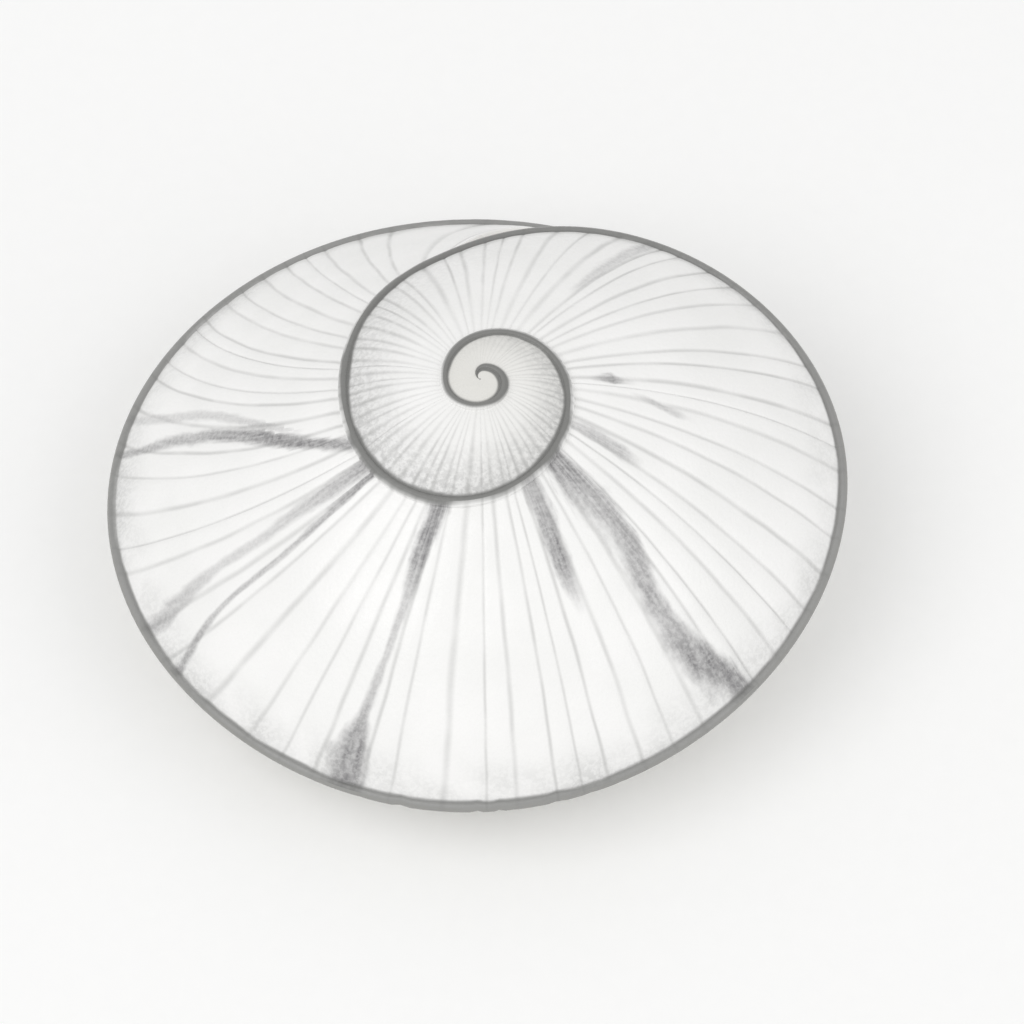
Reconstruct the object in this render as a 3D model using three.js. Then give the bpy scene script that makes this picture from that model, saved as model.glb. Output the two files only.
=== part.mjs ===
// A keeled, low-domed sea shell that coils to the right: one closed piece with an open mouth.
// Millimetres, +Z up, the flattened base on z = 0. A "turn" is one whole turn of the coil,
// counted from the tip; seen from above, the coil grows clockwise.
import * as THREE from 'three';

// The keel: the sharp edge that winds from the tip to the mouth
const firstTurnRadius = 2.65; // from the coil's axis, after one turn
const expansion = 3.5; // growth of that radius in a turn
const lean = 0.1; // share by which the coils sit off centre
const leanTurn = 1.6; // turn at which they reach furthest out
const tipTurns = 0.3; // the tip opens from nothing over this
const rimHalfBreadth = 22.1; // the last turn's oval, along X
const rimHalfDepth = 21.0; // and along Y
const rimShift = 0.15; // the oval's middle lies this far to the front
const flareStart = 2.12; // the keel leaves the spire for the oval between these turns
const flareEnd = 2.54;
const tipToRim = 14.4; // drop from the tip to the rim
const rimToFloor = 6.2;
const dropStart = 1.95; // the keel comes down to the rim between these turns
const dropEnd = 2.95;
const spireSlope = 0.4; // fall of the spire, away from its flat top
const flatTop = 4.2;
const startAngle = Math.PI;

// The rounded upper side of the whorl and its ribs
const bulge = 0.1; // height of the whorl's arc, as a share of its width
const lipBulge = 0.02; // the arc flattens to this at the mouth
const flattenStart = 3.0;
const flattenEnd = 3.22;
const cordWidth = 0.5; // the keel's raised cord, to one side of its crest
const cordHeight = 0.18;
const cordWidestShare = 0.14; // of the whorl's width, on the narrow whorls near the tip
const ribsPerTurn = 64;
const ribShare = 0.006; // rib height above and below the mean surface, as a share of the radius
const fullWhorlWidth = 14; // the cord is smaller on narrower whorls
const sweep = 0.07; // the lip's outer end runs ahead of its inner end, in turns
const sweepStart = 2.75;
const sweepEnd = 3.05;

// The underside
const restOuterRadius = 13.2; // flat ring that the shell rests on
const restInnerRadius = 10.8;
const navelRadius = 4.6; // open hollow on the axis, with a notched edge
const navelEdgeHeight = 1.2;
const navelNotch = 0.25;
const navelFold = 0.1; // low folds that lead to the notches from this share of the way in
const navelFoldStart = 0.55;
const navelSteps = [[4.0, 3.4], [3.2, 6.0]]; // radius and height up its wall
const navelTopHeight = 8.6;
const baseBulge = 0.16;
const parietalBulge = 0.08;
const baseFullTurns = 0.26; // the base takes its full form over this, past the mouth

// The mouth
const lipTurn = 3.23;
const lipWall = 0.13; // wall of the mouth, as a share of the way to its middle
const chamberTurns = 0.55;
const chamberSteps = 12;
const chamberTaper = 0.2;

// How finely the surface is divided
const tipColumns = 24; // in the first turn
const ribColumns = 2 * ribsPerTurn; // a crest and a groove for each rib
const tipStart = 0.08; // the tip is one point up to this turn
const whorlStrips = 7;
const baseArcStrips = 4;

const tipHeight = tipToRim + rimToFloor;
const ribbedColumns = Math.round((lipTurn - 1 - tipStart) * ribColumns);

function smooth(start, end, value) {
  return THREE.MathUtils.smoothstep(value, start, end);
}

// Radius and height of the keel at a turn
function keel(turn) {
  const angle = startAngle - 2 * Math.PI * turn;
  const offCentre = 1 + lean * Math.cos(2 * Math.PI * (turn - leanTurn));
  const spire = firstTurnRadius * expansion ** (turn - 1) * offCentre * smooth(0, tipTurns, turn);
  const ovalMean = (rimHalfBreadth + rimHalfDepth) / 2;
  const ovalSpread = (rimHalfBreadth - rimHalfDepth) / 2;
  const oval = ovalMean + ovalSpread * Math.cos(2 * angle) - rimShift * Math.sin(angle);
  const spireDrop = (spireSlope * spire ** 2) / (spire + flatTop);
  const radius = THREE.MathUtils.lerp(spire, oval, smooth(flareStart, flareEnd, turn));
  const drop = THREE.MathUtils.lerp(spireDrop, tipToRim, smooth(dropStart, dropEnd, turn));
  return new THREE.Vector2(radius, tipHeight - drop);
}

// A point of the half plane through the axis, turned to its place on the coil
function place(section, turn) {
  const angle = startAngle - 2 * Math.PI * turn;
  return new THREE.Vector3(section.x * Math.cos(angle), section.x * Math.sin(angle), section.y);
}

// A point of a low arc from one section point to another, raised to its left by the bulge
function arc(from, to, along, bulgeShare, lift = 0) {
  const chord = to.clone().sub(from);
  const side = new THREE.Vector2(-chord.y, chord.x).normalize();
  const height = 4 * bulgeShare * chord.length() * along * (1 - along) + lift;
  return from.clone().addScaledVector(chord, along).addScaledVector(side, height);
}

const ribSign = (column) => (column % 2 === 0 ? 1 : -1);
const lineSweep = (turn) => sweep * smooth(sweepStart, sweepEnd, turn);

// Shares of the whorl's width at which its rows lie: the two cords' feet, and even steps between
function rowShares(foot) {
  const inner = whorlStrips - 2;
  const rows = [0];
  for (let step = 0; step <= inner; step += 1) rows.push(foot + (1 - 2 * foot) * (step / inner));
  rows.push(1);
  return rows;
}

// The upper side along one growth line, from the suture to the keel
function whorlLine(turn, column) {
  const inner = turn - 1 > tipStart ? keel(turn - 1) : new THREE.Vector2(0, tipHeight);
  const width = keel(turn).distanceTo(inner);
  const scale = Math.min(1, width / fullWhorlWidth);
  return rowShares(Math.min(cordWidth / width, cordWidestShare)).map((across, row, rows) => {
    const at = turn + lineSweep(turn) * across;
    const from = at - 1 > tipStart ? keel(at - 1) : inner;
    const bulgeHere = THREE.MathUtils.lerp(bulge, lipBulge, smooth(flattenStart, flattenEnd, at));
    const radius = THREE.MathUtils.lerp(from.x, keel(at).x, across);
    const onCrest = row === 0 || row === rows.length - 1;
    const lift = onCrest ? 0 : ribSign(column) * ribShare * radius - cordHeight * scale;
    return place(arc(from, keel(at), across, bulgeHere, lift), at);
  });
}

// The underside along one growth line, from the keel to the navel's edge
function baseLine(turn, column) {
  const full = smooth(0, baseFullTurns, turn - (lipTurn - 1));
  const notch = ribSign(column) * navelNotch;
  const navelEdge = new THREE.Vector2(navelRadius, navelEdgeHeight + notch);
  const restOuter = new THREE.Vector2(restOuterRadius, 0);
  const restInner = new THREE.Vector2(restInnerRadius, 0);
  const rows = [];
  for (let step = 0; step <= baseArcStrips; step += 1) {
    const share = step / baseArcStrips;
    rows.push((edge) => arc(edge, restOuter, share, baseBulge));
  }
  rows.push(() => restInner);
  rows.push(() => arc(restInner, navelEdge, navelFoldStart, 0, -navelFold * ribSign(column)));
  rows.push(() => navelEdge);
  return rows.map((fullForm, row) => {
    const along = row / (rows.length - 1);
    const at = turn + lineSweep(turn) * (1 - along);
    const edge = keel(at);
    const early = arc(edge, navelEdge, along, parietalBulge);
    return place(early.lerp(fullForm(edge), full), at);
  });
}

// Vertices and triangles of the closed surface
const points = [];
const faces = [];

function addPoint(point) {
  points.push(point);
  return points.length - 1;
}

function addFace(a, b, c) {
  if (a !== b && b !== c && c !== a) faces.push(a, b, c);
}

// A strip of quads between two rows of vertices, seen from outside with the second to the left
function addStrip(first, second) {
  for (let row = 0; row < first.length - 1; row += 1) {
    addFace(first[row], second[row], second[row + 1]);
    addFace(first[row], second[row + 1], first[row + 1]);
  }
}

function addSpire(tip) {
  const keelRow = [tip];
  let previous = Array(whorlStrips + 1).fill(tip);
  const lines = [];
  const addLine = (turn, column, suture) => {
    const inside = whorlLine(turn, column).slice(1).map(addPoint);
    const line = [suture, ...inside];
    addStrip(previous, line);
    keelRow.push(line[whorlStrips]);
    lines.push(line);
    previous = line;
  };
  for (let column = 1; column <= tipColumns; column += 1) {
    addLine(tipStart + column / tipColumns, column, tip);
  }
  for (let column = 1; column <= ribbedColumns; column += 1) {
    const behind = column - ribColumns;
    const suture = behind > 0 ? tipColumns + behind : Math.floor((column * tipColumns) / ribColumns);
    addLine(tipStart + 1 + column / ribColumns, column, keelRow[suture]);
  }
  return { keelRow, lastLine: lines.at(-1) };
}

function addBase(keelRow) {
  const first = ribbedColumns - ribColumns;
  const lines = [];
  for (let column = first; column <= ribbedColumns; column += 1) {
    const line = baseLine(tipStart + 1 + column / ribColumns, column).slice(1);
    const closing = column === ribbedColumns ? [lines[0].at(-1)] : [addPoint(line.at(-1))];
    const inside = line.slice(0, -1).map(addPoint);
    lines.push([keelRow[tipColumns + column], ...inside, ...closing]);
  }
  for (let index = 1; index < lines.length; index += 1) addStrip(lines[index - 1], lines[index]);
  return lines;
}

// The navel: rings up to a point on the axis
function addNavel(edgeRow) {
  let ring = edgeRow;
  for (const [radius, height] of navelSteps) {
    const next = ring.map((index) => {
      const out = new THREE.Vector2(points[index].x, points[index].y).setLength(radius);
      return addPoint(new THREE.Vector3(out.x, out.y, height));
    });
    for (let index = 0; index < ring.length; index += 1) {
      const after = (index + 1) % ring.length;
      addStrip([ring[index], next[index]], [ring[after], next[after]]);
    }
    ring = next;
  }
  const top = addPoint(new THREE.Vector3(0, 0, navelTopHeight));
  ring.forEach((index, order) => addFace(index, ring[(order + 1) % ring.length], top));
}

// The mouth: the lip's edge, and a chamber that runs back along the coil and closes round
function addMouth(outline) {
  const sections = outline.map((index) => {
    const point = points[index];
    const radius = Math.hypot(point.x, point.y);
    return { section: new THREE.Vector2(radius, point.z), angle: Math.atan2(point.y, point.x) };
  });
  const middle = new THREE.Vector2();
  sections.forEach(({ section }) => middle.addScaledVector(section, 1 / sections.length));
  const meanAngle = sections.reduce((sum, { angle }) => sum + angle / sections.length, 0);
  const turnBack = 2 * Math.PI * chamberTurns;
  let ring = outline;
  for (let step = 0; step < chamberSteps; step += 1) {
    const back = step / chamberSteps;
    const size = (1 - lipWall) * (1 - chamberTaper * back) * Math.sqrt(1 - back ** 4);
    const next = sections.map(({ section, angle }) => {
      const moved = middle.clone().lerp(section, size);
      const turned = angle + turnBack * back;
      return addPoint(new THREE.Vector3(
        moved.x * Math.cos(turned), moved.x * Math.sin(turned), moved.y));
    });
    addStrip([...ring, ring[0]], [...next, next[0]]);
    ring = next;
  }
  const endAngle = meanAngle + turnBack;
  const end = addPoint(new THREE.Vector3(
    middle.x * Math.cos(endAngle), middle.x * Math.sin(endAngle), middle.y));
  ring.forEach((index, order) => addFace(index, end, ring[(order + 1) % ring.length]));
}

const tip = addPoint(new THREE.Vector3(0, 0, tipHeight));
const { keelRow, lastLine } = addSpire(tip);
const baseLines = addBase(keelRow);
addNavel(baseLines.slice(0, -1).map((line) => line.at(-1)));
const parietal = baseLines[0].slice(1, -1).reverse();
addMouth([...lastLine, ...baseLines.at(-1).slice(1), ...parietal]);

const geometry = new THREE.BufferGeometry().setFromPoints(points);
geometry.setIndex(faces);
geometry.computeVertexNormals();
geometry.computeBoundingBox();

const material = new THREE.MeshStandardMaterial({ color: 0xf1f0ec, roughness: 0.45, metalness: 0 });
const shell = new THREE.Mesh(geometry, material);
shell.name = 'shell';

// The origin is the middle of the footprint, on the surface that the shell rests on
const middle = geometry.boundingBox.getCenter(new THREE.Vector3());
shell.position.set(-middle.x, -middle.y, -geometry.boundingBox.min.z);

const part = new THREE.Group();
part.add(shell);

export default part;
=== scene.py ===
import math

import bpy
import numpy as np
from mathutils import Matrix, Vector


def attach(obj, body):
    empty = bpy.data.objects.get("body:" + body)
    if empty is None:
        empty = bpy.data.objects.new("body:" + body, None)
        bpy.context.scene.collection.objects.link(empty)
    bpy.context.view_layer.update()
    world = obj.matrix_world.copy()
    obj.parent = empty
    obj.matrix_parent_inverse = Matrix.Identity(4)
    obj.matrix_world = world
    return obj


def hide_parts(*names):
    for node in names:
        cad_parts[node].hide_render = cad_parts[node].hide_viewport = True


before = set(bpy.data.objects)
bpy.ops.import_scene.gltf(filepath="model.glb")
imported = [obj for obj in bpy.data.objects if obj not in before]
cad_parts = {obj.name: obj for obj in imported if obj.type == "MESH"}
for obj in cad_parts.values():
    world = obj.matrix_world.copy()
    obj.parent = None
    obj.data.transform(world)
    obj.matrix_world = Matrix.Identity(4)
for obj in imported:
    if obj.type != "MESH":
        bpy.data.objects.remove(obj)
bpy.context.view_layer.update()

millimetre = 0.001

# Shell: everything about its form, in millimetres. A turn is one turn of the coil, counted from the tip.
shell = {
    "firstTurnRadius": 2.5,  # keel's distance from the axis after one turn
    "expansion": 3.87,  # growth of that radius in a turn
    "lean": 0.113,  # share by which the coils sit off centre
    "leanTurn": 1.52,
    "spireOval": (-0.047, 0.048),  # the spire's coils are a little oval
    "tipTurns": 0.3,  # the tip opens from nothing over this
    "rimRadius": 21.49,  # mean radius of the last turn
    "rimWaves": ((1, -0.27, 0.01), (2, 0.54, -0.07), (3, 0.01, 0.17), (4, 0.10, 0.0)),
    "flareStart": 2.21,  # the keel leaves the spire for the rim
    "flareEnd": 2.51,
    "tipToRim": 14.4,
    "rimToFloor": 6.2,
    "lipRise": 0.6,  # the keel lifts a little before the lip
    "lipRiseTurns": (3.02, 3.2),
    "dropStart": 1.95,  # the keel comes down to the rim
    "dropEnd": 2.95,
    "spireSlope": 0.4,
    "flatTop": 4.2,
    "bulge": 0.075,  # arc of the upper side, as a share of its width
    "lipBulge": 0.015,
    "flattenStart": 2.8,
    "flattenEnd": 3.1,
    "sweep": 0.07,  # the growth lines' outer ends run ahead by this, in turns
    "sweepDip": 0.05,  # less so on the way to the lip
    "sweepTurns": (2.75, 2.98, 3.17, 3.23),
    "cordRadius": 0.29,  # round cord along the keel, thinner near the tip
    "tipCordShare": 0.62,
    "fullCordWidth": 5.0,  # whorl width from which the cord is full
    "channelDepth": 0.07,  # groove beside the cord
    "ribShare": 0.006,  # rib height as a share of the radius
    "linesPerTurn": 64,
    "restOuterRadius": 13.2,  # flat ring that touches the floor
    "restInnerRadius": 10.8,
    "baseBulge": 0.135,
    "parietalBulge": 0.08,
    "baseFullTurns": 0.26,
    "navelRadius": 4.6,
    "navelEdgeHeight": 1.2,
    "navelTopHeight": 8.6,
    "navelNotch": 0.25,
    "navelBead": 0.3,  # beaded cord round the navel
    "navelLedge": 0.32,  # winding ledge on its wall
    "navelLedgeRise": 0.24,
    "lipWall": 0.13,  # wall at the mouth, as a share of the way to its middle
    "lipRound": 0.28,
    "chamberTurns": 0.62,
    "chamberTaper": 0.22,
    "chipDepth": 0.14,  # worn stretch of the rim at the front
    "chipLines": (170.5, 181.0),
    "axisX": 0.038,  # the coil's axis in the row frame
    "axisY": 0.150,
}

# Mesh fineness: places of the columns between two growth lines, and of the rows across the whorl
columnPlaces = (0.0, 0.1, 0.3, 0.5, 0.7, 0.9)
firstLine = 4.0
lastLine = 206.5
cordRows = np.array([0.0, 0.35, 0.6, 0.8, 0.93, 1.02, 1.3, 1.8])  # in cord radii
cordEndShare = 2.6
cordMostShare = 0.15  # of the whorl's width
cordTurnCount = 8
baseTurnAngle = math.radians(-108)
middleRowCount = 24
baseRowCounts = (16, 4, 16)
navelRowCount = 14
lipRingCount = 6
chamberRingCount = 44
farAway = 50.0  # edge distance of faces that lie away from the cords
hiddenSpacing = 0.4  # mm between growth lines in the navel and the mouth
baseRibFade = 0.8  # mm in which the base's ribs fade at the floor and the keel
slotOutside, slotBase, slotMouth = 0, 1, 2
tipHeight = shell["tipToRim"] + shell["rimToFloor"]


def smooth(start, end, value):
    share = np.clip((value - start) / (end - start), 0, 1)
    return share * share * (3 - 2 * share)


def mixed(first, second, share):
    return first + (second - first) * share


def turnOfLine(line):
    # growth lines are not quite evenly spaced, and repeat from turn to turn
    phase = 2 * np.pi * line / shell["linesPerTurn"]
    drift = 0.2 * np.sin(9 * phase + 1.0) + 0.13 * np.sin(23 * phase + 2.2) + 0.06 * np.sin(30 * phase)
    return (line + drift * smooth(firstLine, 24, line)) / shell["linesPerTurn"]


def angleOfTurn(turn):
    return np.pi - 2 * np.pi * turn


def keelAt(turn):
    # radius and height of the keel
    angle = angleOfTurn(turn)
    evenOval, oddOval = shell["spireOval"]
    ovalShare = (evenOval * np.cos(2 * angle) + oddOval * np.sin(2 * angle)) * smooth(0.6, 1.3, turn)
    offCentre = 1 + shell["lean"] * np.cos(2 * np.pi * (turn - shell["leanTurn"])) + ovalShare
    growth = shell["firstTurnRadius"] * shell["expansion"] ** (turn - 1)
    spire = growth * offCentre * smooth(0, shell["tipTurns"], turn)
    rim = shell["rimRadius"]
    for number, evenPart, oddPart in shell["rimWaves"]:
        rim = rim + evenPart * np.cos(number * angle) + oddPart * np.sin(number * angle)
    radius = mixed(spire, rim, smooth(shell["flareStart"], shell["flareEnd"], turn))
    spireDrop = shell["spireSlope"] * spire ** 2 / (spire + shell["flatTop"])
    drop = mixed(spireDrop, shell["tipToRim"], smooth(shell["dropStart"], shell["dropEnd"], turn))
    rise = shell["lipRise"] * smooth(*shell["lipRiseTurns"], turn)
    return np.stack([radius, tipHeight - drop + rise], axis=-1)


def sweepAt(turn):
    start, full, low, end = shell["sweepTurns"]
    dip = shell["sweepDip"] * (smooth(full, low, turn) - smooth(low, end, turn))
    return shell["sweep"] * smooth(start, full, turn) - dip


def whorlWidth(turn):
    return np.linalg.norm(keelAt(turn) - keelAt(np.maximum(turn - 1, 0)), axis=-1)


def cordRadiusAt(turn):
    width = whorlWidth(np.maximum(turn, 0))
    share = mixed(shell["tipCordShare"], 1, np.clip(width / shell["fullCordWidth"], 0, 1))
    return np.minimum(shell["cordRadius"] * share, cordMostShare * np.maximum(width, 0.02))


def arcPoint(start, end, along, bulge, lift):
    # point of a low arc, raised to the left of its chord
    chord = end - start
    length = np.maximum(np.linalg.norm(chord, axis=-1), 1e-6)
    side = np.stack([-chord[..., 1], chord[..., 0]], axis=-1) / length[..., None]
    height = 4 * bulge * length * along * (1 - along) + lift
    return start + chord * along[..., None] + side * height[..., None]


def placed(section, turn):
    angle = angleOfTurn(turn)
    x = section[..., 0] * np.cos(angle)
    y = section[..., 0] * np.sin(angle)
    return np.stack([x, y, section[..., 1]], axis=-1)


def crest(distance, width):
    return np.exp(-(distance / width) ** 2)


def chipAt(line):
    # small nicks along the worn stretch of the rim
    start, end = shell["chipLines"]
    window = smooth(start, start + 4, line) * (1 - smooth(end - 4, end, line))
    wave = np.sin(5.1 * line) + 0.8 * np.sin(8.7 * line + 1.3) + 0.6 * np.sin(14.9 * line + 0.4)
    return shell["chipDepth"] * window * np.clip(wave - 0.35, 0, 2) / 2


def ribWave(line):
    # broad low ribs with a narrow groove at each growth line
    return np.sqrt(np.abs(np.sin(np.pi * line))) - 0.6


def halfRound(distance, radius):
    # height of a round cord above its foot
    return np.sqrt(np.maximum(radius ** 2 - distance ** 2, 0))


def topSurface(line):
    # places on the upper side: one column for each line, rows from the suture to the keel
    turn = turnOfLine(line)
    width = np.maximum(whorlWidth(turn), 0.02)
    sutureCord = cordRadiusAt(turn - 1)[:, None]
    keelCord = cordRadiusAt(turn)[:, None]
    first = sutureCord * cordEndShare / width[:, None]
    last = 1 - keelCord * cordEndShare / width[:, None]
    middle = np.linspace(0, 1, middleRowCount + 1)
    across = np.concatenate([
        sutureCord * cordRows / width[:, None],
        first + (last - first) * middle,
        1 - keelCord * cordRows[::-1] / width[:, None]], axis=1)
    at = turn[:, None] + sweepAt(turn)[:, None] * across
    inner = keelAt(np.maximum(at - 1, 0))
    outer = keelAt(at)
    fromSuture = across * width[:, None]
    fromKeel = (1 - across) * width[:, None]
    cords = halfRound(fromSuture, sutureCord) + halfRound(fromKeel, keelCord)
    clear = (1 - crest(fromSuture, 2 * sutureCord + 0.01)) * (1 - crest(fromKeel, 2 * keelCord + 0.01))
    channel = shell["channelDepth"] * crest(fromSuture - 1.5 * sutureCord, 0.5 * sutureCord + 0.01)
    radius = mixed(inner[..., 0], outer[..., 0], across)
    rib = shell["ribShare"] * radius * ribWave(line)[:, None] * clear
    lift = cords + rib - channel * sutureCord / shell["cordRadius"]
    bulge = mixed(shell["bulge"], shell["lipBulge"], smooth(shell["flattenStart"], shell["flattenEnd"], at))
    section = arcPoint(inner, outer, across, bulge, lift)
    section[..., 0] -= chipAt(line)[:, None] * crest(fromKeel, 0.5)
    spacing = 2 * np.pi * radius / shell["linesPerTurn"]
    edges = (fromSuture / np.maximum(sutureCord, 0.01), fromKeel / np.maximum(keelCord, 0.01))
    return placed(section, at), across, edges, spacing


def baseSurface(line):
    # places on the underside: rows from the keel to the navel's edge
    turn = turnOfLine(line)
    lipTurn = turnOfLine(np.array(lastLine))
    full = smooth(0, shell["baseFullTurns"], turn - (lipTurn - 1))
    arcRows, ringRows, innerRows = baseRowCounts
    share = np.concatenate([
        np.zeros(cordTurnCount),
        np.linspace(0.2, 1, arcRows + 1) ** 2,
        1 + np.linspace(0, 1, ringRows + 1)[1:],
        2 + np.linspace(0, 1, innerRows + 1)[1:]])
    along = np.interp(share, [0, 1, 2, 3], [0, 0.57, 0.71, 1.0])
    at = turn[:, None] + sweepAt(turn)[:, None] * (1 - along)
    edge = keelAt(at)
    notch = np.cos(2 * np.pi * line) * shell["navelNotch"]
    navelEdge = np.stack([np.full_like(line, shell["navelRadius"]), shell["navelEdgeHeight"] + notch], -1)
    navelEdge = np.broadcast_to(navelEdge[:, None, :], edge.shape)
    alongs = np.broadcast_to(along, at.shape)
    early = arcPoint(edge, navelEdge, alongs, shell["parietalBulge"], 0.0)
    restOuter = np.broadcast_to([shell["restOuterRadius"], 0.0], edge.shape)
    arcShare = np.broadcast_to(np.clip(share, 0, 1), at.shape)
    outerPart = arcPoint(edge, restOuter, arcShare, shell["baseBulge"], 0.0)
    ringShare = np.clip(share - 1, 0, 1)
    innerShare = np.clip(share - 2, 0, 1)
    ringRadius = mixed(shell["restOuterRadius"], shell["restInnerRadius"], ringShare)
    innerRadius = mixed(shell["restInnerRadius"], shell["navelRadius"], innerShare)
    flatRadius = np.where(share <= 2, ringRadius, innerRadius)
    bead = 0.6 + 0.4 * np.cos(np.pi * line)
    beadRow = crest(innerShare - 0.86, 0.07)
    groove = crest(innerShare - 0.68, 0.05) + 0.6 * crest(innerShare - 0.42, 0.05)
    flatHeight = navelEdge[..., 1] * innerShare ** 2
    flatHeight = flatHeight + shell["navelBead"] * (0.4 * groove - bead[:, None] * beadRow)
    flatPart = np.stack([np.broadcast_to(flatRadius, at.shape), flatHeight], -1)
    fullForm = np.where((share <= 1)[None, :, None], outerPart, flatPart)
    section = mixed(early, fullForm, full[:, None, None])
    fromKeel = np.linalg.norm(section - edge, axis=-1)

    # the outer half of the round cord, from its top to the start of the base
    cord = cordRadiusAt(turn)[:, None]
    chord = keelAt(turn) - keelAt(turn - 1)
    topAngle = np.arctan2(chord[:, 0], -chord[:, 1])[:, None]
    bend = mixed(topAngle, baseTurnAngle, np.linspace(0, 1, cordTurnCount))
    section[:, :cordTurnCount, 0] = edge[:, :cordTurnCount, 0] + cord * np.cos(bend)
    section[:, :cordTurnCount, 1] = edge[:, :cordTurnCount, 1] + cord * np.sin(bend)
    offFloor = np.clip(section[..., 1] / baseRibFade, 0, 1)
    offKeel = np.clip(fromKeel / baseRibFade, 0, 1)
    clear = offFloor * offKeel * (1 - smooth(0.5, 1, innerShare))
    rib = shell["ribShare"] * section[..., 0] * ribWave(line)[:, None] * clear
    section[..., 1] -= 0.6 * rib
    section[..., 0] -= chipAt(line)[:, None] * crest(fromKeel, 0.5)
    spacing = 2 * np.pi * section[..., 0] / shell["linesPerTurn"]
    return placed(section, at), np.broadcast_to(share, at.shape), fromKeel / shell["cordRadius"], spacing


def navelSurface(line, edgePoints):
    # the navel's wall, from its notched edge to a point on the axis
    turn = turnOfLine(line)
    up = np.linspace(0, 1, navelRowCount + 1)[1:-1]
    height = mixed(edgePoints[:, 2][:, None], shell["navelTopHeight"], up)
    radius = shell["navelRadius"] * (1 - up ** 1.8) ** 0.75
    winding = (up / shell["navelLedgeRise"] + turn[:, None] + 0.5) % 1 - 0.5
    ledge = shell["navelLedge"] * crest(winding, 0.16) * (1 - up)
    section = np.stack([radius - ledge, height], -1)
    return placed(section, np.broadcast_to(turn[:, None], height.shape)), up


# Flames: grey streaks along the growth lines. The stops of each give the share across the whorl, the
# growth line counted from the tip, the width in mm and the depth of colour.
flames = {
    "leftFlame": [
        (0.0, 187.8, 0.9, 0.8), (0.12, 189.3, 1.1, 1.0), (0.31, 190.5, 1.1, 1.0),
        (0.46, 190.7, 0.9, 0.85),
        (0.62, 190.6, 0.75, 0.75), (0.81, 190.2, 0.65, 0.7), (1.0, 189.6, 0.5, 0.6)],
    "leftUpperFlame": [
        (0.15, 190.1, 0.5, 0.0), (0.25, 190.8, 0.6, 0.4), (0.46, 191.4, 0.6, 0.4),
        (0.62, 191.4, 0.6, 0.4),
        (0.92, 190.8, 0.6, 0.35), (1.0, 190.6, 0.6, 0.3)],
    "lowerLeftFlame": [
        (0.0, 184.9, 0.5, 0.9), (0.12, 184.9, 0.55, 0.85), (0.27, 184.65, 0.45, 0.7),
        (0.4, 184.55, 0.4, 0.6),
        (0.58, 184.5, 0.4, 0.6), (0.73, 184.35, 0.4, 0.6), (0.85, 184.0, 0.45, 0.75),
        (1.0, 183.6, 0.45, 0.7)],
    "lowerLeftPair": [
        (0.0, 185.6, 0.8, 0.9), (0.15, 185.6, 0.8, 0.65), (0.27, 185.6, 0.55, 0.5),
        (0.46, 185.4, 0.4, 0.4),
        (0.62, 185.4, 0.4, 0.4), (0.84, 185.1, 0.65, 0.55), (0.96, 184.9, 0.9, 0.55),
        (1.0, 184.9, 0.8, 0.4)],
    "frontFlame": [
        (0.0, 178.8, 1.4, 1.0), (0.03, 178.9, 1.3, 1.0), (0.12, 179.3, 1.1, 1.0),
        (0.2, 179.25, 0.9, 0.9),
        (0.31, 179.2, 0.6, 0.6), (0.4, 179.3, 0.4, 0.5), (0.54, 179.3, 0.35, 0.5),
        (0.73, 179.4, 0.5, 0.7),
        (0.88, 179.4, 1.6, 1.0), (1.0, 179.3, 1.7, 0.95)],
    "shortFlame": [
        (0.0, 171.3, 0.9, 0.7), (0.15, 171.3, 1.05, 0.85), (0.23, 171.4, 1.0, 1.0),
        (0.31, 171.4, 0.85, 0.9),
        (0.4, 171.3, 0.6, 0.3), (0.45, 171.3, 0.5, 0.0)],
    "longFlame": [
        (0.0, 168.4, 1.2, 1.0), (0.08, 168.3, 1.7, 0.9), (0.19, 168.0, 1.9, 0.7),
        (0.31, 168.0, 1.6, 0.75),
        (0.42, 168.4, 1.2, 0.8), (0.5, 168.6, 0.95, 0.8), (0.62, 168.7, 0.9, 0.8),
        (0.7, 168.6, 1.2, 0.85),
        (0.85, 168.3, 1.9, 1.0), (0.96, 167.7, 2.2, 1.0), (1.0, 167.5, 2.2, 0.9)],
    "rightPatch": [
        (0.02, 163.7, 0.6, 0.4), (0.08, 163.7, 0.75, 0.6), (0.19, 163.7, 0.8, 0.55),
        (0.27, 163.9, 0.5, 0.0)],
    "rightSpot": [
        (0.08, 158.0, 0.3, 0.0), (0.13, 158.15, 0.6, 0.8), (0.16, 158.2, 0.75, 1.0),
        (0.2, 158.3, 0.3, 0.0)],
    "rightDash": [
        (0.2, 159.5, 0.25, 0.0), (0.27, 160.2, 0.4, 0.45), (0.34, 160.3, 0.4, 0.5),
        (0.39, 160.4, 0.3, 0.0)],
    "farStreak": [
        (0.3, 149.9, 0.4, 0.0), (0.4, 149.8, 0.5, 0.35), (0.88, 149.7, 0.7, 0.5),
        (1.0, 149.7, 0.7, 0.4)],
}




flameSmoothing = np.linspace(-0.07, 0.07, 7)  # rounds the bends at the stops


def flameCorners(grid, scale):
    # signed distance from a flame's middle in half widths, and its depth; each face follows its
    # strongest flame
    line, across, spacing = grid[..., 0], grid[..., 1], scale[..., 0]
    best = np.zeros(len(grid))
    chosen = np.zeros_like(grid)
    for stops in flames.values():
        places, lines, widths, depths = np.array(stops).T
        path = np.mean([np.interp(across + shift, places, lines) for shift in flameSmoothing], axis=0)
        offset = (line - path) * spacing
        near = 2 * offset / np.interp(across, places, widths)
        depth = np.interp(across, places, depths)
        presence = depth.mean(axis=1) / (0.05 + near.mean(axis=1) ** 2)
        stronger = presence > best
        best[stronger] = presence[stronger]
        chosen[stronger] = np.stack([near, depth], axis=-1)[stronger]
    return chosen


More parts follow.
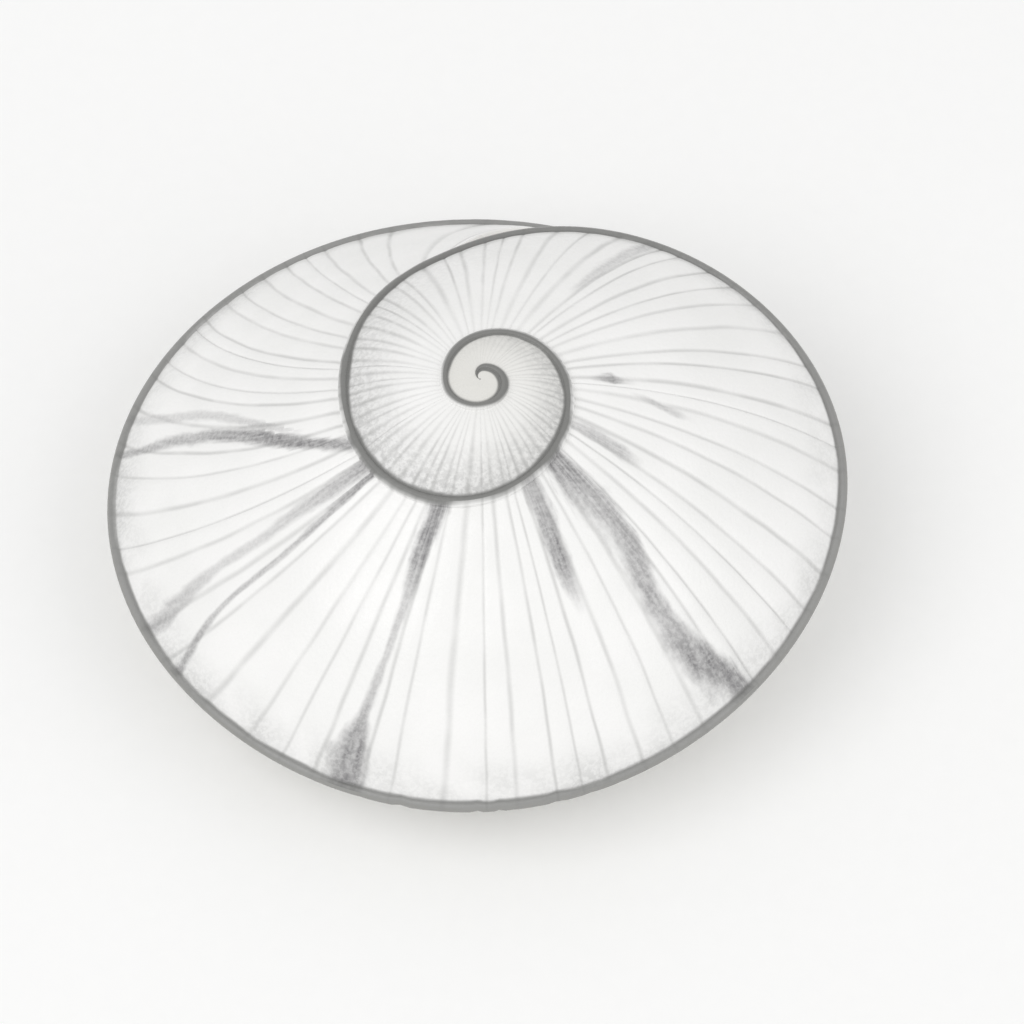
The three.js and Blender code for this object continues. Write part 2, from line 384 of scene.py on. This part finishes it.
class SurfaceMesh:
    # gathers points and sheets of quads, then makes one Blender mesh of them
    mapNames = ("shellGrid", "shellEdge", "shellScale", "shellFlame")

    def __init__(self):
        self.points = []
        self.count = 0
        self.faces = []
        self.corners = {name: [] for name in self.mapNames}
        self.slots = []

    def add(self, points):
        flat = np.asarray(points, float).reshape(-1, 3)
        self.points.append(flat)
        first = self.count
        self.count += len(flat)
        return np.arange(first, self.count).reshape(np.shape(points)[:-1])

    def sheet(self, indices, maps, slot):
        # quads between neighbouring columns; where two corners meet, a triangle
        def cornersOf(values):
            return np.stack([values[:-1, :-1], values[1:, :-1], values[1:, 1:], values[:-1, 1:]], axis=2)
        quads = cornersOf(indices).reshape(-1, 4)
        coordinates = {name: cornersOf(values).reshape(-1, 4, 2) for name, values in maps.items()}
        if slot == slotOutside:
            coordinates["shellFlame"] = flameCorners(coordinates["shellGrid"], coordinates["shellScale"])
        else:
            coordinates["shellFlame"] = np.full((len(quads), 4, 2), farAway)
        for number, quad in enumerate(quads.tolist()):
            keep = [k for k in range(4) if quad[k] != quad[k - 1]]
            if len(keep) < 3:
                continue
            self.faces.append([quad[k] for k in keep])
            self.slots.append(slot)
            for name in self.mapNames:
                self.corners[name].append(coordinates[name][number][keep])

    def build(self, name):
        mesh = bpy.data.meshes.new(name)
        points = np.concatenate(self.points)
        points = points + [shell["axisX"], shell["axisY"], 0.0]
        mesh.from_pydata((points * millimetre).tolist(), [], self.faces)
        for mapName in self.mapNames:
            layer = mesh.uv_layers.new(name=mapName)
            layer.uv.foreach_set("vector", np.concatenate(self.corners[mapName]).astype(np.float32).ravel())
        mesh.polygons.foreach_set("material_index", self.slots)
        mesh.polygons.foreach_set("use_smooth", [True] * len(self.faces))
        mesh.update()
        return mesh


def mapsOf(grid, edge, scale):
    # three corner maps, each of two values that spread over the sheet's columns and rows; the last is spare
    values = np.broadcast_arrays(*grid, *edge, *scale)
    pairs = [np.stack(values[k:k + 2], axis=-1) for k in (0, 2, 4)]
    return dict(zip(SurfaceMesh.mapNames, pairs))


def shellColumns():
    steps = len(columnPlaces)
    first = int(firstLine) * steps
    last = int(lastLine) * steps + columnPlaces.index(lastLine % 1)
    numbers = np.arange(first, last + 1)
    return numbers // steps + np.array(columnPlaces)[numbers % steps]


def makeShell():
    surface = SurfaceMesh()
    line = shellColumns()
    perTurn = shell["linesPerTurn"] * len(columnPlaces)
    tip = surface.add(np.array([0.0, 0.0, tipHeight]))

    # upper side
    points, across, edges, spacing = topSurface(line)
    own = surface.add(points[:, 1:])
    suture = np.full(len(line), tip)
    suture[perTurn:] = own[:-perTurn, -1]
    top = np.concatenate([suture[:, None], own], axis=1)
    topMaps = mapsOf((line[:, None], across), edges, (spacing, 0.0))
    surface.sheet(top, topMaps, slotOutside)
    start = np.stack([np.full_like(top[0], tip), top[0]])
    startMaps = {name: np.repeat(values[:1], 2, axis=0) for name, values in topMaps.items()}
    surface.sheet(start, startMaps, slotOutside)
    print("shell: upper side", top.shape)

    # underside, one turn of it
    baseLine = line[-perTurn - 1:]
    points, share, fromKeel, spacing = baseSurface(baseLine)
    own = surface.add(points[:, 1:])
    own[-1, -1] = own[0, -1]
    base = np.concatenate([top[-perTurn - 1:, -1:], own], axis=1)
    baseMaps = mapsOf((baseLine[:, None], 1 + share), (farAway, fromKeel), (spacing, 0.0))
    surface.sheet(base, baseMaps, slotBase)

    # navel
    edgePoints = points[:-1, -1]
    wallPoints, up = navelSurface(baseLine[:-1], edgePoints)
    wall = surface.add(wallPoints)
    navelTop = surface.add(np.array([0.0, 0.0, shell["navelTopHeight"]]))
    rings = np.concatenate([base[:-1, -1:], wall, np.full((perTurn, 1), navelTop)], axis=1)
    rings = np.concatenate([rings, rings[:1]])
    rise = 4 + np.concatenate([[0.0], up, [1.0]])
    navelMaps = mapsOf((baseLine[:, None], rise[None, :]), (farAway, farAway), (hiddenSpacing, 0.0))
    surface.sheet(rings, navelMaps, slotBase)
    print("shell: underside and navel", base.shape, rings.shape)

    # mouth: a rounded lip, then a chamber that runs back along the coil
    outline = np.concatenate([top[-1], base[-1, 1:], base[0, 1:-1][::-1]])
    allPoints = np.concatenate(surface.points)
    edge = allPoints[outline]
    section = np.stack([np.hypot(edge[:, 0], edge[:, 1]), edge[:, 2]], -1)
    angle = np.arctan2(edge[:, 1], edge[:, 0])
    middle = section.mean(axis=0)
    lip = np.linspace(0, 1, lipRingCount + 1)[1:]
    back = np.linspace(0, 1, chamberRingCount + 1)[1:-1]
    chamberSize = (1 - shell["lipWall"]) * (1 - shell["chamberTaper"] * back) * np.sqrt(1 - back ** 4)
    size = np.concatenate([1 - shell["lipWall"] * (1 - np.cos(np.pi * lip)) / 2, chamberSize])
    forward = np.concatenate([shell["lipRound"] * np.sin(np.pi * lip) / middle[0], 0 * back])
    turnBack = np.concatenate([0 * lip, 2 * np.pi * shell["chamberTurns"] * back]) - forward
    rings = middle + (section - middle) * size[:, None, None]
    turned = angle + turnBack[:, None]
    ringPoints = np.stack(
        [rings[..., 0] * np.cos(turned), rings[..., 0] * np.sin(turned), rings[..., 1]], -1)
    own = surface.add(ringPoints)
    endAngle = angle.mean() + 2 * np.pi * shell["chamberTurns"]
    end = surface.add(np.array([middle[0] * math.cos(endAngle), middle[0] * math.sin(endAngle), middle[1]]))
    mouth = np.concatenate([outline[None], own, np.full((1, len(outline)), end)])
    mouth = np.concatenate([mouth, mouth[:, :1]], axis=1)
    depth = np.concatenate([[0.0], lip, 1 + back, [2.0]])
    loop = np.linspace(0, shell["linesPerTurn"], mouth.shape[1])
    mouthMaps = mapsOf((loop[None, :], depth[:, None]), (farAway, farAway), (hiddenSpacing, 0.0))
    surface.sheet(mouth, mouthMaps, slotMouth)
    print("shell: mouth", mouth.shape, "faces in all", len(surface.faces))
    return bpy.data.objects.new("coiledShell", surface.build("coiledShell"))


coiledShell = makeShell()
bpy.context.scene.collection.objects.link(coiledShell)


# Node helpers
def feed(tree, socket, value):
    if isinstance(value, bpy.types.NodeSocket):
        tree.links.new(value, socket)
    else:
        socket.default_value = value


def addNode(tree, kind, inputs=None, **settings):
    made = tree.nodes.new(kind)
    for name, value in settings.items():
        setattr(made, name, value)
    for name, value in (inputs or {}).items():
        feed(tree, made.inputs[name], value)
    return made


def maths(tree, operation, *values, clamp=False):
    made = addNode(tree, "ShaderNodeMath", operation=operation, use_clamp=clamp)
    for socket, value in zip(made.inputs, values):
        feed(tree, socket, value)
    return made.outputs[0]


def ease(tree, value, low, high, start=0.0, end=1.0):
    inputs = {"Value": value, "From Min": low, "From Max": high, "To Min": start, "To Max": end}
    return addNode(tree, "ShaderNodeMapRange", inputs, interpolation_type="SMOOTHSTEP").outputs[0]


def blendColour(tree, share, first, second):
    made = addNode(tree, "ShaderNodeMix", data_type="RGBA")
    for number, value in ((0, share), (6, first), (7, second)):
        feed(tree, made.inputs[number], value)
    return made.outputs[2]


def noiseOf(tree, vector, scale, detail=1.0, roughness=0.5, flat=False):
    inputs = {"Vector": vector, "Scale": scale, "Detail": detail, "Roughness": roughness}
    made = addNode(tree, "ShaderNodeTexNoise", inputs, noise_dimensions="2D" if flat else "3D")
    return made.outputs["Fac"]


def gridNoise(tree, line, across, lineScale, acrossScale, detail=1.0):
    # noise that is drawn out along the growth lines
    along = maths(tree, "MULTIPLY", line, lineScale)
    over = maths(tree, "MULTIPLY", across, acrossScale)
    return noiseOf(tree, joinUp(tree, along, over), 1.0, detail, flat=True)


def splitUp(tree, vector):
    made = addNode(tree, "ShaderNodeSeparateXYZ", {"Vector": vector})
    return made.outputs[0], made.outputs[1], made.outputs[2]


def joinUp(tree, x=0.0, y=0.0, z=0.0):
    return addNode(tree, "ShaderNodeCombineXYZ", {"X": x, "Y": y, "Z": z}).outputs[0]


def newGroup(name, inputs, outputs):
    # inputs: name and default, a number or a three-number vector
    group = bpy.data.node_groups.new(name, "ShaderNodeTree")
    for socketName, default in inputs.items():
        kind = "NodeSocketVector" if isinstance(default, tuple) else "NodeSocketFloat"
        socket = group.interface.new_socket(socketName, in_out="INPUT", socket_type=kind)
        socket.default_value = default
    for socketName in outputs:
        group.interface.new_socket(socketName, in_out="OUTPUT", socket_type="NodeSocketFloat")
    given = group.nodes.new("NodeGroupInput")
    result = group.nodes.new("NodeGroupOutput")
    return group, given.outputs, result.inputs


def useGroup(tree, group, inputs):
    made = tree.nodes.new("ShaderNodeGroup")
    made.node_tree = group
    for name, value in inputs.items():
        feed(tree, made.inputs[name], value)
    return made.outputs


zero = (0.0, 0.0, 0.0)


def makeGrowthLines():
    # thin growth lines that wander a little, each of its own strength
    group, given, result = newGroup(
        "growthLines",
        {"Grid": zero, "Spacing": 1.0, "Width": 0.2, "Wander": 0.1, "Patchy": 0.6},
        ["Line"])
    line, across, _ = splitUp(group, given["Grid"])
    drift = maths(group, "SUBTRACT", gridNoise(group, line, across, 0.9, 4.0), 0.5)
    moved = maths(group, "MULTIPLY_ADD", drift, given["Wander"], line)
    nearest = maths(group, "ROUND", moved)
    offset = maths(group, "ABSOLUTE", maths(group, "SUBTRACT", moved, nearest))
    distance = maths(group, "MULTIPLY", offset, given["Spacing"])
    half = maths(group, "MULTIPLY", given["Width"], 0.5)
    core = ease(group, maths(group, "DIVIDE", distance, half), 0.0, 1.5, 1.0, 0.0)
    chance = addNode(group, "ShaderNodeTexWhiteNoise", {"W": nearest}, noise_dimensions="1D")
    strength = chance.outputs["Value"]
    patch = ease(group, gridNoise(group, nearest, across, 7.3, 6.0), 0.3, 0.62)
    patch = maths(group, "MULTIPLY_ADD", maths(group, "SUBTRACT", patch, 1.0), given["Patchy"], 1.0)
    strong = maths(group, "MULTIPLY_ADD", strength, 0.35, 0.65)
    feed(group, result["Line"], maths(group, "MULTIPLY", core, maths(group, "MULTIPLY", strong, patch)))
    return group


def makeFineSpeckle():
    # stippled grain: a soft cloud broken up into fine dots
    group, given, result = newGroup(
        "fineSpeckle", {"Place": zero, "Size": 0.25, "Cloud": 3.0}, ["Dots", "Cloud"])
    dots = noiseOf(group, given["Place"], maths(group, "DIVIDE", 1.0, given["Size"]), 2.0, 0.65)
    cloud = noiseOf(group, given["Place"], maths(group, "DIVIDE", 1.0, given["Cloud"]), 2.0, 0.55)
    feed(group, result["Dots"], ease(group, dots, 0.36, 0.64))
    feed(group, result["Cloud"], ease(group, cloud, 0.3, 0.7))
    return group


def makeEdgeBand():
    # dark line over a cord: distance in cord radii, edges slightly uneven
    group, given, result = newGroup(
        "edgeBand", {"Distance": 9.0, "Uneven": 0.5, "Width": 1.0, "Soft": 0.3}, ["Band"])
    uneven = maths(group, "SUBTRACT", given["Uneven"], 0.5)
    distance = maths(group, "MULTIPLY_ADD", uneven, 0.5, given["Distance"])
    start = maths(group, "SUBTRACT", given["Width"], given["Soft"])
    end = maths(group, "ADD", given["Width"], given["Soft"])
    feed(group, result["Band"], ease(group, distance, start, end, 1.0, 0.0))
    return group


growthLines = makeGrowthLines()
fineSpeckle = makeFineSpeckle()
edgeBand = makeEdgeBand()
print("node groups:", [group.name for group in bpy.data.node_groups])

# Finishes of the shell, colours as linear light
finish = {
    "body": (0.90, 0.895, 0.885, 1.0),
    "cloudTone": (0.84, 0.84, 0.825, 1.0),
    "spireTone": (0.70, 0.69, 0.65, 1.0),  # warm grey near the tip
    "paintedShadeTone": (0.36, 0.36, 0.355, 1.0),  # stippled grey for painted shade
    "lineTone": (0.40, 0.40, 0.39, 1.0),
    "flameTone": (0.20, 0.195, 0.20, 1.0),
    # dark cord colour, which over the suture's groove is also painted shade
    "cordTone": (0.185, 0.185, 0.178, 1.0),
    "rimDepth": 0.84,  # the rim's cord is paler than the suture's
    "lineDepth": 0.48,
    "lineWidth": 0.26,
    "bumpDistance": 0.0001,
    "roughness": (0.36, 0.52),
    "coatWeight": 0.12,
    "baseTone": (0.86, 0.85, 0.82, 1.0),
    "baseCloudTone": (0.74, 0.73, 0.69, 1.0),
    "mouthTone": (0.92, 0.91, 0.885, 1.0),
    "mouthDeepTone": (0.70, 0.66, 0.60, 1.0),
}


# Where the markings start and end, in growth lines from the tip
marks = {
    "tipGrey": (66.0, 128.0),
    # span of the painted shade on the spire
    "paintedShadeStart": (70.0, 96.0),
    "paintedShadeEnd": (124.0, 152.0),
    "linesStart": (72.0, 100.0),
    "strokesEnd": (140.0, 165.0),
    "tipCord": (10.0, 60.0),
    "rimCord": (130.0, 165.0),
    "suture": (70.0, 130.0),
    "rimPaler": (140.0, 165.0),
}


def newMaterial(name):
    material = bpy.data.materials.new(name)
    material.use_nodes = True
    tree = material.node_tree
    tree.nodes.clear()
    output = tree.nodes.new("ShaderNodeOutputMaterial")
    shader = tree.nodes.new("ShaderNodeBsdfPrincipled")
    tree.links.new(shader.outputs[0], output.inputs[0])
    return material, tree, shader


def mapOf(tree, name):
    return addNode(tree, "ShaderNodeUVMap", uv_map=name).outputs[0]


def placeOf(tree):
    # object place in millimetres
    place = addNode(tree, "ShaderNodeTexCoord").outputs["Object"]
    scaled = addNode(tree, "ShaderNodeVectorMath", {0: place}, operation="SCALE")
    scaled.inputs["Scale"].default_value = 1 / millimetre
    return scaled.outputs[0]


def bumpInto(tree, shader, height, distance, strength=1.0):
    bump = addNode(tree, "ShaderNodeBump", {"Height": height, "Strength": strength, "Distance": distance})
    tree.links.new(bump.outputs[0], shader.inputs["Normal"])


def makeOutside():
    material, tree, shader = newMaterial("ribbedOutside")
    grid, place = mapOf(tree, "shellGrid"), placeOf(tree)
    line, across, _ = splitUp(tree, grid)
    fromSuture, fromKeel, _ = splitUp(tree, mapOf(tree, "shellEdge"))
    spacing, _, _ = splitUp(tree, mapOf(tree, "shellScale"))
    speckle = useGroup(tree, fineSpeckle, {"Place": place, "Size": 0.28, "Cloud": 4.0})
    lineWidth = maths(tree, "MINIMUM", finish["lineWidth"], maths(tree, "MULTIPLY", spacing, 0.45))
    lines = useGroup(tree, growthLines, {
        "Grid": grid, "Spacing": spacing, "Width": lineWidth, "Wander": 0.12, "Patchy": 0.4})
    cloudShare = maths(tree, "MULTIPLY", speckle["Cloud"], 0.5)
    colour = blendColour(tree, cloudShare, finish["body"], finish["cloudTone"])

    # warm grey at the tip
    tipShare = ease(tree, line, *marks["tipGrey"], 0.8, 0.0)
    colour = blendColour(tree, tipShare, colour, finish["spireTone"])

    # painted shade, stippled: darker towards the outer suture of the spire, and a little along the rim
    paintedShadeStart = ease(tree, line, *marks["paintedShadeStart"])
    onSpire = maths(tree, "MULTIPLY", paintedShadeStart, ease(tree, line, *marks["paintedShadeEnd"], 1.0, 0.0))
    outwards = maths(tree, "MULTIPLY", ease(tree, across, 0.25, 1.0), onSpire)
    paintedSpireShade = maths(tree, "MULTIPLY", outwards, 0.55)
    rimCloud = maths(tree, "MULTIPLY_ADD", speckle["Cloud"], 0.32, 0.06)
    paintedRimShade = maths(tree, "MULTIPLY", ease(tree, across, 0.8, 1.0), rimCloud)
    shade = maths(tree, "MAXIMUM", paintedSpireShade, paintedRimShade)
    grainy = maths(tree, "MULTIPLY_ADD", speckle["Dots"], 0.65, 0.5)
    paintedShadeShare = maths(tree, "MULTIPLY", shade, grainy, clamp=True)
    colour = blendColour(tree, paintedShadeShare, colour, finish["paintedShadeTone"])

    # growth lines, soft strokes on the spire that darken outwards, none at the tip
    linesStart = ease(tree, line, *marks["linesStart"])
    onTurns = maths(tree, "MULTIPLY", linesStart, ease(tree, line, *marks["strokesEnd"], 1.0, 0.0))
    strokes = maths(tree, "MULTIPLY", onTurns, ease(tree, across, 0.05, 0.9, -0.6, 0.4))
    lineShare = maths(tree, "MULTIPLY", lines["Line"], finish["lineDepth"])
    lineShare = maths(tree, "MULTIPLY", lineShare, maths(tree, "ADD", 1.0, strokes))
    lineShare = maths(tree, "MULTIPLY", lineShare, linesStart)
    colour = blendColour(tree, lineShare, colour, finish["lineTone"])

    # flames, with ragged edges and streaks along the growth lines
    flameOffset, flameDepth, _ = splitUp(tree, mapOf(tree, "shellFlame"))
    ragged = maths(tree, "MULTIPLY_ADD", gridNoise(tree, line, across, 2.6, 12.0, 2.0), 0.9, 0.55)
    flameNear = maths(tree, "MULTIPLY", maths(tree, "ABSOLUTE", flameOffset), ragged)
    flameBody = maths(tree, "MULTIPLY", ease(tree, flameNear, 0.3, 1.4, 1.0, 0.0), flameDepth)
    flameStreaks = maths(tree, "MULTIPLY_ADD", gridNoise(tree, line, across, 7.0, 7.0, 2.0), 0.6, 0.55)
    flameGrain = maths(tree, "MULTIPLY_ADD", speckle["Dots"], 0.25, 0.8)
    flameTexture = maths(tree, "MULTIPLY", flameStreaks, flameGrain)
    flameShare = maths(tree, "MULTIPLY", flameBody, flameTexture, clamp=True)
    colour = blendColour(tree, flameShare, colour, finish["flameTone"])

    # dark cord along the keel and the suture; over the suture's groove the dark is also painted shade
    uneven = speckle["Cloud"]
    tipWidth = ease(tree, line, *marks["tipCord"], 2.8, 1.0)
    keelWidth = maths(tree, "MAXIMUM", tipWidth, ease(tree, line, *marks["rimCord"], 1.55, 1.35))
    sutureWidth = ease(tree, line, *marks["suture"], 1.6, 0.35)
    rimLine = useGroup(tree, edgeBand, {
        "Distance": fromKeel, "Uneven": uneven, "Width": keelWidth, "Soft": 0.45})
    sutureCordAndShade = useGroup(tree, edgeBand, {
        "Distance": fromSuture, "Uneven": uneven, "Width": sutureWidth, "Soft": 0.5})
    cords = maths(tree, "MAXIMUM", rimLine["Band"], sutureCordAndShade["Band"])
    cordDepth = ease(tree, line, *marks["rimPaler"], 0.97, finish["rimDepth"])
    rimPaler = maths(tree, "MAXIMUM", sutureCordAndShade["Band"], cordDepth)
    colour = blendColour(tree, maths(tree, "MULTIPLY", cords, rimPaler), colour, finish["cordTone"])

    feed(tree, shader.inputs["Base Color"], colour)
    low, high = finish["roughness"]
    rough = maths(tree, "ADD", flameShare, speckle["Dots"])
    feed(tree, shader.inputs["Roughness"], ease(tree, rough, 0.0, 1.6, low, high))
    shader.inputs["Coat Weight"].default_value = finish["coatWeight"]
    bumpInto(tree, shader, speckle["Dots"], finish["bumpDistance"], 0.15)
    return material


def makeUnderside():
    material, tree, shader = newMaterial("smoothUnderside")
    grid, place = mapOf(tree, "shellGrid"), placeOf(tree)
    _, fromKeel, _ = splitUp(tree, mapOf(tree, "shellEdge"))
    spacing, _, _ = splitUp(tree, mapOf(tree, "shellScale"))
    speckle = useGroup(tree, fineSpeckle, {"Place": place, "Size": 0.3, "Cloud": 5.0})
    lines = useGroup(tree, growthLines, {
        "Grid": grid, "Spacing": spacing, "Width": 0.22, "Wander": 0.2, "Patchy": 0.7})
    cloudShare = maths(tree, "MULTIPLY", speckle["Cloud"], 0.7)
    colour = blendColour(tree, cloudShare, finish["baseTone"], finish["baseCloudTone"])
    colour = blendColour(tree, maths(tree, "MULTIPLY", lines["Line"], 0.35), colour, finish["lineTone"])
    rimLine = useGroup(
        tree, edgeBand, {"Distance": fromKeel, "Uneven": speckle["Cloud"], "Width": 2.2, "Soft": 0.4})
    rimShare = maths(tree, "MULTIPLY", rimLine["Band"], finish["rimDepth"])
    colour = blendColour(tree, rimShare, colour, finish["cordTone"])
    feed(tree, shader.inputs["Base Color"], colour)
    low, high = finish["roughness"]
    feed(tree, shader.inputs["Roughness"], ease(tree, speckle["Dots"], 0.0, 1.0, low, high))
    shader.inputs["Coat Weight"].default_value = finish["coatWeight"]
    bumpInto(tree, shader, speckle["Dots"], finish["bumpDistance"], 0.2)
    return material


def makeMouthLining():
    material, tree, shader = newMaterial("glossyMouth")
    place = placeOf(tree)
    _, depth, _ = splitUp(tree, mapOf(tree, "shellGrid"))
    speckle = useGroup(tree, fineSpeckle, {"Place": place, "Size": 0.5, "Cloud": 4.0})
    colour = blendColour(tree, ease(tree, depth, 0.6, 1.8), finish["mouthTone"], finish["mouthDeepTone"])
    cloudShare = maths(tree, "MULTIPLY", speckle["Cloud"], 0.25)
    colour = blendColour(tree, cloudShare, colour, finish["baseCloudTone"])
    feed(tree, shader.inputs["Base Color"], colour)
    feed(tree, shader.inputs["Roughness"], ease(tree, speckle["Cloud"], 0.0, 1.0, 0.16, 0.28))
    shader.inputs["Coat Weight"].default_value = 0.3
    bumpInto(tree, shader, speckle["Cloud"], finish["bumpDistance"], 0.5)
    return material


for material in (makeOutside(), makeUnderside(), makeMouthLining()):
    coiledShell.data.materials.append(material)
    print("material:", material.name, len(material.node_tree.nodes), "nodes")
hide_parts("shell")
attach(coiledShell, "root")

# Studio: pale floor, even soft light, and a long lens from the front and above
studio = {
    "floorHalf": 1.5,  # metres
    "floorTone": (0.93, 0.93, 0.925, 1.0),
    "worldTone": (1.0, 1.0, 1.0, 1.0),
    "worldStrength": 0.78,
    "lights": [
        {"name": "keyLight", "place": (-0.35, -0.25, 0.6), "size": 0.6, "power": 1.4},
        {"name": "fillLight", "place": (0.5, -0.3, 0.5), "size": 0.7, "power": 0.8},
    ],
    "lens": 285.0,
    "elevation": 57.0,  # degrees above the horizon
    "distance": 0.48,
    "target": (0.00193, -0.00645, 0.01631),
}


def makeFloor():
    half = studio["floorHalf"]
    mesh = bpy.data.meshes.new("paleFloor")
    corners = [(-half, -half, 0), (half, -half, 0), (half, half, 0), (-half, half, 0)]
    mesh.from_pydata(corners, [], [(0, 1, 2, 3)])
    floor = bpy.data.objects.new("paleFloor", mesh)
    bpy.context.scene.collection.objects.link(floor)
    material, tree, shader = newMaterial("palePaper")
    grain = noiseOf(tree, placeOf(tree), 0.8)
    tone = studio["floorTone"]
    darker = tuple(0.985 * value for value in tone[:3]) + (1.0,)
    feed(tree, shader.inputs["Base Color"], blendColour(tree, grain, tone, darker))
    shader.inputs["Roughness"].default_value = 0.85
    shader.inputs["Specular IOR Level"].default_value = 0.2
    mesh.materials.append(material)


def aim(thing, target):
    direction = Vector(target) - thing.location
    thing.rotation_euler = direction.to_track_quat("-Z", "Y").to_euler()


def makeLights():
    world = bpy.data.worlds.new("softWorld")
    world.use_nodes = True
    background = world.node_tree.nodes["Background"]
    background.inputs["Color"].default_value = studio["worldTone"]
    background.inputs["Strength"].default_value = studio["worldStrength"]
    bpy.context.scene.world = world
    for given in studio["lights"]:
        data = bpy.data.lights.new(given["name"], "AREA")
        data.shape = "DISK"
        data.size = given["size"]
        data.energy = given["power"]
        light = bpy.data.objects.new(given["name"], data)
        light.location = given["place"]
        bpy.context.scene.collection.objects.link(light)
        aim(light, (0, 0, 0.01))


def makeCamera():
    data = bpy.data.cameras.new("photoCamera")
    data.lens = studio["lens"]
    data.sensor_width = 36.0
    data.clip_start = 0.01
    camera = bpy.data.objects.new("photoCamera", data)
    tilt = math.radians(studio["elevation"])
    back = Vector((0, -math.cos(tilt), math.sin(tilt)))
    camera.location = Vector(studio["target"]) + back * studio["distance"]
    bpy.context.scene.collection.objects.link(camera)
    aim(camera, studio["target"])
    bpy.context.scene.camera = camera


makeFloor()
makeLights()
makeCamera()
bpy.context.scene.view_settings.view_transform = "Standard"
print("studio ready")
